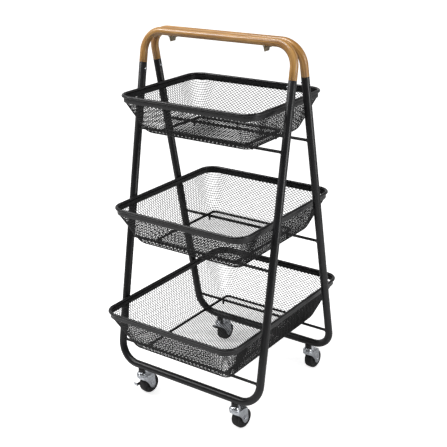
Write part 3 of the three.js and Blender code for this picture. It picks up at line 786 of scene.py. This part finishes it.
def rim_section(drop):
    """Band, rolled bead and inner fold, for a rim whose band reaches `drop` below the bead."""
    bead_middle = np.array((-BEAD_SHIFT, 0))
    angles = np.radians(np.linspace(286, -43, 26))
    bead = [bead_middle + BEAD_RADIUS * np.array((math.cos(a), math.sin(a))) for a in angles]
    fold = [(4.3, -3.2), (4.4, -10.8), (3.6, -11.2), (3.5, -3.6), (1.7, -3.2)]
    low = [(1.6, -drop / MM + 0.3), (1.2, -drop / MM), (0.4, -drop / MM), (0.0, -drop / MM + 0.5)]
    outline = [np.array(p) * MM for p in low] + bead + [np.array(p) * MM for p in fold]
    return np.array(outline)[::-1]


for level in LEVELS:
    low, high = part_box(f"{level}_basket_rim")
    bead_z = high.z - BEAD_RADIUS
    face = BEAD_RADIUS + BEAD_SHIFT
    corners = rectangle(high.x - face, high.y - face, bead_z)
    places, heads = bent_path(corners, RIM_CORNER, RIM_BEND_STEPS, closed=True)
    section = rim_section(bead_z - low.z)
    rim = sweep(f"{level}_rolled_rim", places, heads, (0, 0, 1), section, closed=True)
    finish_piece(rim, rim_coat, f"{level}_basket_rim")
    print(level, "rim depth mm", round((high.y - low.y) / MM, 1), "faces", len(rim.polygons))

# %% [markdown]
# ## Expanded mesh
# Expanded metal starts as a flat sheet that is slit and pulled open into diamonds, here 11 mm by
# 7.2 mm, with strands 1.1 mm wide. The flat sheet is then pressed into the tray, so its diamonds
# lie flat on the floor, run up the four walls unstretched, and are crowded together round the
# corners, which is why the corners look darker. The script does the same: it draws a flat lattice
# and maps every point of it onto the tray. All four tips of a knot are real points, so each hole
# is a real hole, and the knots are tilted a little, as slitting leaves them.

# %% Flat lattice
LONG_WAY = 11 * MM
SHORT_WAY = 7.2 * MM
STRAND_WIDTH = 1.12 * MM
SHEET_THICKNESS = 0.9 * MM
KNOT_TILT = 0.22 * MM


def flat_lattice(half_x, half_y):
    """Flat points with their tilt, and quads, of an expanded sheet that covers a rectangle."""
    diagonal = math.hypot(LONG_WAY, SHORT_WAY)
    tip_x = STRAND_WIDTH * diagonal / (2 * SHORT_WAY)
    tip_y = tip_x * SHORT_WAY / LONG_WAY
    count_x = int(half_x / (LONG_WAY / 2)) + 1
    count_y = int(half_y / (SHORT_WAY / 2)) + 1
    number = {}
    points, quads = [], []
    for j in range(-count_y, count_y + 1):
        for i in range(-count_x, count_x + 1):
            if (i + j) % 2 == 0:
                number[i, j] = len(points)
                x, y = i * LONG_WAY / 2, j * SHORT_WAY / 2
                points += [(x + tip_x, y, 0), (x, y + tip_y, -1), (x - tip_x, y, 0), (x, y - tip_y, 1)]
    for (i, j), knot in number.items():
        east, north, west = knot, knot + 1, knot + 2
        quads.append((knot, knot + 1, knot + 2, knot + 3))
        right, left = number.get((i + 1, j + 1)), number.get((i - 1, j + 1))
        if right is not None:
            quads.append((east, right + 3, right + 2, north))
        if left is not None:
            quads.append((north, left, left + 3, west))
    return np.array(points), np.array(quads)


# %% Pressing the sheet into a tray
MESH_LAP = 5 * MM
SHELL_THICKNESS = 2 * MM
SIDE_SLOPE = 0.44
FRONT_SLOPE = 0.525
FLOOR_BLEND = 15 * MM
CORNER_TIGHTEN = 0.35


class Tray:
    """The shape a basket's sheet is pressed to, as rings from the floor's edge up to the rim."""

    def __init__(self, level):
        low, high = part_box(f"{level}_basket_mesh")
        band_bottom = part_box(f"{level}_basket_rim")[0].z
        self.floor = low.z + SHELL_THICKNESS / 2
        rise = band_bottom - self.floor
        self.profiles = [self.profile(slope, rise) for slope in (SIDE_SLOPE, FRONT_SLOPE)]
        self.half = [high.x - SHELL_THICKNESS / 2, high.y - SHELL_THICKNESS / 2]
        self.top_radius = RIM_CORNER - BAND_THICKNESS - JOINT_GAP - SHELL_THICKNESS / 2
        inset = self.profiles[0][:, 0]
        self.radius = self.top_radius - inset * CORNER_TIGHTEN
        self.straight = [self.half[k] - self.profiles[k][:, 0] - self.radius for k in (0, 1)]
        steps = [np.hypot(*np.diff(p, axis=0).T) for p in self.profiles]
        self.lengths = [np.concatenate([[0], np.cumsum(step)]) for step in steps]

    def profile(self, slope, rise):
        """One wall from the floor outwards, as (inset from the band, height over the floor)."""
        foot_inset = slope * rise
        end = np.array((foot_inset - FLOOR_BLEND * slope, FLOOR_BLEND))
        corner = np.array((foot_inset, 0))
        start = np.array((foot_inset + FLOOR_BLEND, 0))
        bend = quadratic(start, corner, end, 8)
        wall = [end + (np.array((0, rise)) - end) * t for t in (0.25, 0.5, 0.75, 1.0)]
        return np.array(bend + wall + [(0, rise + MESH_LAP)])

    def reach(self):
        """Half sizes of the flat sheet."""
        return [self.straight[k][0] + self.radius[0] + self.lengths[k][-1] for k in (0, 1)]

    def press(self, flat):
        """Where flat points go, and how far past the floor's edge each one is, from 0 to 1."""
        x, y = np.abs(flat[:, 0]), np.abs(flat[:, 1])
        over = np.stack([x - self.straight[0][0], y - self.straight[1][0]])
        past = np.clip(over, 0, None)
        away = np.hypot(*past) - self.radius[0]
        turn_by = np.arctan2(past[0], past[1]) / (math.pi / 2)
        row = np.arange(len(self.radius), dtype=float)
        rows = [np.interp(away, self.lengths[k], row) for k in (0, 1)]
        v = rows[0] * turn_by + rows[1] * (1 - turn_by)
        pick = lambda values: np.interp(v, row, values)
        radius, wide, deep = pick(self.radius), pick(self.straight[0]), pick(self.straight[1])
        from_front, from_side = wide - self.straight[0][0], deep - self.straight[1][0]
        arc = radius * math.pi / 2
        run = turn_by * (from_front + arc + from_side)
        angle = np.clip((run - from_front) / radius, 0, math.pi / 2)
        new_x = self.straight[0][0] + np.minimum(run, from_front) + radius * np.sin(angle)
        to_side = np.clip(from_front + arc + from_side - run, 0, from_side)
        new_y = self.straight[1][0] + to_side + radius * np.cos(angle)
        on_front, on_side = over[0] <= 0, over[1] <= 0
        new_x = np.where(on_front, x, new_x)
        new_y = np.where(on_front, deep + radius, new_y)
        new_x = np.where(on_side, wide + radius, new_x)
        new_y = np.where(on_side, y, new_y)
        inside = away <= 0
        new_x, new_y = np.where(inside, x, new_x), np.where(inside, y, new_y)
        height = self.floor + np.where(inside, 0, pick(self.profiles[0][:, 1]))
        placed = np.stack([np.sign(flat[:, 0]) * new_x, np.sign(flat[:, 1]) * new_y, height], 1)
        end = self.lengths[0][-1] * turn_by + self.lengths[1][-1] * (1 - turn_by)
        return placed, away / end


BASE_WIRE_RADIUS = 3.1 * MM
PIN_RADIUS = 2.8 * MM
PIN_CLEARING = 4 * MM


def pin_places(level):
    """Where a basket's four pins go down through its floor."""
    half_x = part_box(f"{level}_basket_base_wire")[1].x - BASE_WIRE_RADIUS
    pin_y = abs(centre(f"front_crossbar_{level}").y) - ROD_RADIUS - PIN_RADIUS - 2 * JOINT_GAP
    return [(i * half_x, j * pin_y) for i in (-1, 1) for j in (-1, 1)]


def pressed_mesh(level):
    """A basket's whole sheet as one closed mesh, with both faces and every cut edge."""
    tray = Tray(level)
    points, quads = flat_lattice(*tray.reach())
    middles = points[quads].mean(axis=1)[:, :2]
    for pin in pin_places(level):
        clear = np.hypot(*(middles - pin).T) > PIN_CLEARING
        quads, middles = quads[clear], middles[clear]
    past = tray.press(points[:, :2])[1]
    used, inverse = np.unique(quads[(past[quads] <= 1).all(axis=1)], return_inverse=True)
    quads, points = inverse.reshape(-1, 4), points[used]
    flat = points[:, :2]
    middle = tray.press(flat)[0]
    nudge = 0.2 * MM
    across = tray.press(flat + (nudge, 0))[0] - tray.press(flat - (nudge, 0))[0]
    along = tray.press(flat + (0, nudge))[0] - tray.press(flat - (0, nudge))[0]
    normal = np.cross(across, along)
    normal /= np.linalg.norm(normal, axis=1, keepdims=True)
    middle = middle + normal * points[:, 2:] * KNOT_TILT
    upper = middle + normal * SHEET_THICKNESS / 2
    lower = middle - normal * SHEET_THICKNESS / 2
    count = len(middle)
    edges = np.concatenate([np.stack([quads[:, k], quads[:, (k + 1) % 4]], 1) for k in range(4)])
    key = edges[:, 0] * count + edges[:, 1]
    twin = edges[:, 1] * count + edges[:, 0]
    cut_edges = edges[~np.isin(key, twin)]
    a, b = cut_edges.T
    walls = np.stack([b, a, a + count, b + count], 1)
    faces = np.concatenate([quads, quads[:, ::-1] + count, walls])
    return mesh_from(f"{level}_pressed_mesh", np.concatenate([upper, lower]), faces)


for level in LEVELS:
    sheet = pressed_mesh(level)
    made = finish_piece(sheet, mesh_coat, f"{level}_basket_mesh")
    sheet.shade_flat()
    print(level, "mesh:", len(sheet.polygons), "quads, mm", [round(d / MM) for d in made.dimensions])

# %% [markdown]
# ## Base wires
# On each tray's floor lies a rectangle of drawn wire, butt-welded shut. Four short pins point down
# from it, go through clearings in the mesh and drop behind the crossbars that the floor rests on,
# so the basket can't slide but lifts straight off. The pins' ends are domed, and a small weld
# joins each to the wire.

# %% Base wires
BASE_CORNER = 8 * MM


def domed_pin(name, place, low, high):
    """A pin with a domed foot, and a weld collar where it meets the wire above."""
    wide = PIN_RADIUS
    quarter = np.linspace(0, math.pi / 2, 6)
    dome = [(wide * math.sin(a), low + wide * 0.6 * (1 - math.cos(a))) for a in quarter]
    neck = high - BASE_WIRE_RADIUS
    collar = [(wide, neck - 1.4 * MM), (wide * 1.12, neck - 0.4 * MM), (wide * 1.4, neck + 0.8 * MM)]
    inside_wire = [(wide * 0.9, high), (0, high)]
    return turned(name, dome + collar + inside_wire, place=(*place, 0), segments=20)


for level in LEVELS:
    node = f"{level}_basket_base_wire"
    low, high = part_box(node)
    wire_z = high.z - BASE_WIRE_RADIUS
    half_x, half_y = high.x - BASE_WIRE_RADIUS, high.y - BASE_WIRE_RADIUS
    places, heads = bent_path(rectangle(half_x, half_y, wire_z), BASE_CORNER, 10, closed=True)
    ring = sweep("ring", places, heads, (0, 0, 1), circle(BASE_WIRE_RADIUS, 24), closed=True)
    pins = [domed_pin("pin", place, low.z, wire_z) for place in pin_places(level)]
    finish_piece(together(f"{level}_base_wire_and_pins", ring, *pins), wire_coat, node)
    print(level, "base wire mm:", round(2 * half_x / MM), "by", round(2 * half_y / MM))

# %% [markdown]
# ## Casters
# A swivel caster is a stack: a moulded collar under the tube, a pressed ball race, and a stamped
# fork that turns under it and holds the wheel behind the stem. Each part is made once round a
# stem on the Z axis with the wheel towards +Y, and copied to the four corners. The joints give
# each corner's stem, its wheel's middle and the way it heads.

# %% Where the casters are
PLACES = ("front_left", "front_right", "rear_left", "rear_right")
BRAKED = ("front_left", "rear_left")


def caster_matrix(place):
    stem = joint_of[f"{place}_swivel_turn"]["pos_m"]
    axis = joint_of[f"{place}_wheel_roll"]["axis"]
    heading = math.atan2(axis[1], axis[0])
    return Matrix.Translation((stem[0], stem[1], 0)) @ Matrix.Rotation(heading, 4, "Z")


stem_at = Vector(joint_of["front_left_swivel_turn"]["pos_m"])
wheel_at = Vector(joint_of["front_left_wheel_roll"]["pos_m"])
WHEEL_RADIUS = wheel_at.z
WHEEL_TRAIL = (wheel_at.xy - stem_at.xy).length
wheel_middle = Matrix.Translation((0, WHEEL_TRAIL, WHEEL_RADIUS))
ALONG_X = Matrix.Rotation(math.pi / 2, 4, "Y")
print("wheel radius and trail mm:", round(WHEEL_RADIUS / MM, 1), round(WHEEL_TRAIL / MM, 1))


def for_casters(mesh, suffix, material, node_suffix, places=PLACES):
    """Copies one caster part to the corners that have it."""
    for place in places:
        made = moved(mesh, f"{place}_{suffix}", caster_matrix(place))
        finish_piece(made, material, f"{place}_{node_suffix}")


def in_mm(*pairs):
    return np.array(pairs, float) * MM


def rounded_ring(reach, *pairs):
    """A closed outline in mm whose corners are rounded by up to `reach` mm."""
    return softened(in_mm(*pairs), reach * MM, closed=True)


# %% Collar, stem and ball race
collar_profile = rounded_ring(
    0.6, (4.4, 66.3), (7.6, 66.3), (8.5, 67.4), (8.5, 74), (7.9, 76.6), (4.4, 76.6)
)
collar = turned("collar", collar_profile)
stem_outline = in_mm((0, 49.3), (5.4, 49.5), (6, 50.6), (6, 51.7), (4, 51.7), (4, 87), (0, 87))
stem_profile = softened(stem_outline, 0.5 * MM)
race_profile = rounded_ring(
    0.5, (4.4, 57), (13.7, 57), (14, 57.6), (14, 59.6), (13.2, 60.5), (12.4, 60.6), (12.2, 61.6),
    (11.2, 63.6), (9.4, 65.2), (8, 66), (4.4, 66),
)
for_casters(collar, "moulded_collar", nylon, "caster_collar")
for_casters(turned("stem", stem_profile), "riveted_stem", zinc, "caster_stem")
for_casters(turned("race", race_profile), "pressed_race", zinc, "caster_ball_race")
print("collar, stem and race made")

# %% [markdown]
# ### Fork
# The fork is blanked and drawn from 1.8 mm steel: a cup with a round nose under the race, and two
# cheeks that run down to the axle. Three closed outlines give it, one seen from above, one from
# the side, and a smaller one that hollows it from below. A shallow panel pressed into each cheek
# stiffens it and leaves the raised border that catches the light.

# %% Fork
FORK_HALF_WIDTH = 14.1
FORK_GAUGE = 1.8
PLATE_BOTTOM = 52 * MM
THROUGH = 20 * MM


def curve(start, control, end, steps=10):
    """Points of one bent edge, as a quadratic curve, leaving out its start."""
    start, control, end = (np.array(p, float) for p in (start, control, end))
    return quadratic(start, control, end, steps)[1:]


def nose_outline(half_width, nose, back):
    """The fork from above: a round nose about the stem and straight sides."""
    angles = np.linspace(math.pi, 2 * math.pi, 25)
    arc = [(half_width * math.cos(a), nose * math.sin(a)) for a in angles]
    return np.array(arc + [(half_width, back), (-half_width, back)]) * MM


side_outline = [np.array((-12.6, 54.0)), np.array((-12.6, 50.4))]
side_outline += curve((-12.6, 50.4), (4, 42), (12, 27))
side_outline += curve((12, 27), (14.5, 15.5), (22, 14.5))
side_outline += curve((22, 14.5), (31, 15), (32, 25))
side_outline += [np.array((29.5, 54.0))]
side_outline = np.array(side_outline) * MM
panel_outline = rounded_ring(
    4, (3, 49.5), (26.6, 49.5), (28.6, 27), (26.5, 19.5), (21, 18), (16.2, 22), (12, 33), (6, 43)
)

fork = plate("fork", nose_outline(FORK_HALF_WIDTH, 12.5, 33), 5 * MM, 54 * MM)
fork = combine(fork, plate("side", side_outline, -THROUGH, THROUGH, AXES_YZ_ALONG_X), "INTERSECT")
inner_outline = nose_outline(FORK_HALF_WIDTH - FORK_GAUGE, 12.5 - FORK_GAUGE, 40)
hollow = plate("hollow", inner_outline, -10 * MM, PLATE_BOTTOM)
fork = combine(fork, hollow, "DIFFERENCE")
for low, high in ((-15, -13.75), (13.75, 15)):
    panel = plate("panel", panel_outline, low * MM, high * MM, AXES_YZ_ALONG_X)
    fork = combine(fork, panel, "DIFFERENCE")
fork = bevelled(fork, 0.45 * MM, segments=3)
seat_profile = rounded_ring(
    0.4, (4.4, 53.6), (12.4, 53.6), (13, 54.6), (13, 56), (12.2, 56.7), (4.4, 56.7)
)
fork = together("fork", fork, turned("race_seat", seat_profile))
for_casters(fork, "stamped_fork", zinc, "caster_fork")
print("fork faces:", len(fork.polygons))

# %% Wheel and axle
tyre_profile = rounded_ring(
    1.2, (16.3, -9.4), (19, -10.3), (21.8, -11), (23.6, -10), (24.6, -7.6), (25, -3),
    (25, 3), (24.6, 7.6), (23.6, 10), (21.8, 11), (19, 10.3), (16.3, 9.4),
)
hub_profile = rounded_ring(
    0.5, (3.3, -11.8), (6.4, -11.8), (7, -11.2), (7.2, -8), (13.4, -7.4), (14.2, -8.6), (15.8, -9),
    (15.8, 9), (14.2, 8.6), (13.4, 7.4), (7.2, 8), (7, 11.2), (6.4, 11.8), (3.3, 11.8),
)
wheel_place = wheel_middle @ ALONG_X
tyre = moved(turned("tyre", tyre_profile, segments=96), "tyre", wheel_place)
hub = moved(turned("hub", hub_profile, segments=64), "hub", wheel_place)
for_casters(tyre, "rubber_tyre", rubber, "wheel_tyre")
for_casters(hub, "moulded_hub", nylon, "wheel_hub")


def rivet_axle(left_face, right_face):
    """An axle with a domed head at each end. Lengths are in mm from the wheel's middle."""
    head = [(5, 0.0), (5, 0.5), (4.6, 1.1), (3.4, 1.5), (0, 1.6)]
    right = [(r, right_face + h) for r, h in head]
    left = [(r, -left_face - h) for r, h in reversed(head)]
    profile = in_mm(*left, (3, -left_face), (3, right_face), *right)
    return moved(turned("axle", profile, segments=36), "axle", wheel_place)


LEVER_GAUGE = 1.8
outside = FORK_HALF_WIDTH + 0.3
plain = [place for place in PLACES if place not in BRAKED]
for_casters(rivet_axle(outside, outside), "rivet_axle", zinc, "caster_axle", plain)
for_casters(rivet_axle(outside + LEVER_GAUGE + 0.3, outside), "rivet_axle", zinc, "caster_axle", BRAKED)
print("tyre faces:", len(tyre.polygons), "hub faces:", len(hub.polygons))

# %% [markdown]
# ### Brake levers
# Each left caster has a stamped side lever that hooks over the axle and ends in a bent toe tab.
# Pressing it down jams its cam on the wheel. The arm is an outline with a round boss, the tab is a
# second plate at its tip, and both get sheared, slightly rounded edges. The front lever is drawn
# pressed, 4 degrees below level, and the rear one lifted by 30. The print compares each with its
# own node's box.

# %% Brake levers
LEVER_REACH = 28
TAB_LENGTH = 10
LEVER_ANGLES = {"front_left": -4, "rear_left": 30}

boss = [(6.5 * math.cos(a), 6.5 * math.sin(a)) for a in np.linspace(-math.pi / 2, math.pi / 2, 17)]
arm_outline = in_mm(
    *boss, (-6, 5.2), (-12, 4.4), (-LEVER_REACH, 4), (-LEVER_REACH, -3), (-12, -3.6), (-6, -5.4)
)
arm = plate("arm", arm_outline, -(outside + LEVER_GAUGE) * MM, -outside * MM, AXES_YZ_ALONG_X)
tab_end = -outside - LEVER_GAUGE - TAB_LENGTH
tab_corners = in_mm((tab_end, -3), (-outside, -3), (-outside, 4), (tab_end, 4))
tab_outline = softened(tab_corners, 2 * MM, steps=4, closed=True)
stand = Matrix.Rotation(math.pi / 2, 4, "X")
tab = plate("tab", tab_outline, (LEVER_REACH - LEVER_GAUGE) * MM, LEVER_REACH * MM, stand)
lever = bevelled(combine(arm, tab, "UNION"), 0.4 * MM, segments=3)
for place, angle in LEVER_ANGLES.items():
    swung = moved(lever, "lever", wheel_middle @ Matrix.Rotation(math.radians(-angle), 4, "X"))
    for_casters(swung, "brake_stamping", zinc, "brake_lever", (place,))
    made = bpy.data.objects[f"{place}_brake_stamping"]
    low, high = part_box(f"{place}_brake_lever")
    off = [round((a - b) / MM, 2) for a, b in zip(made.dimensions, high - low)]
    print(place, "lever box off by mm", off)
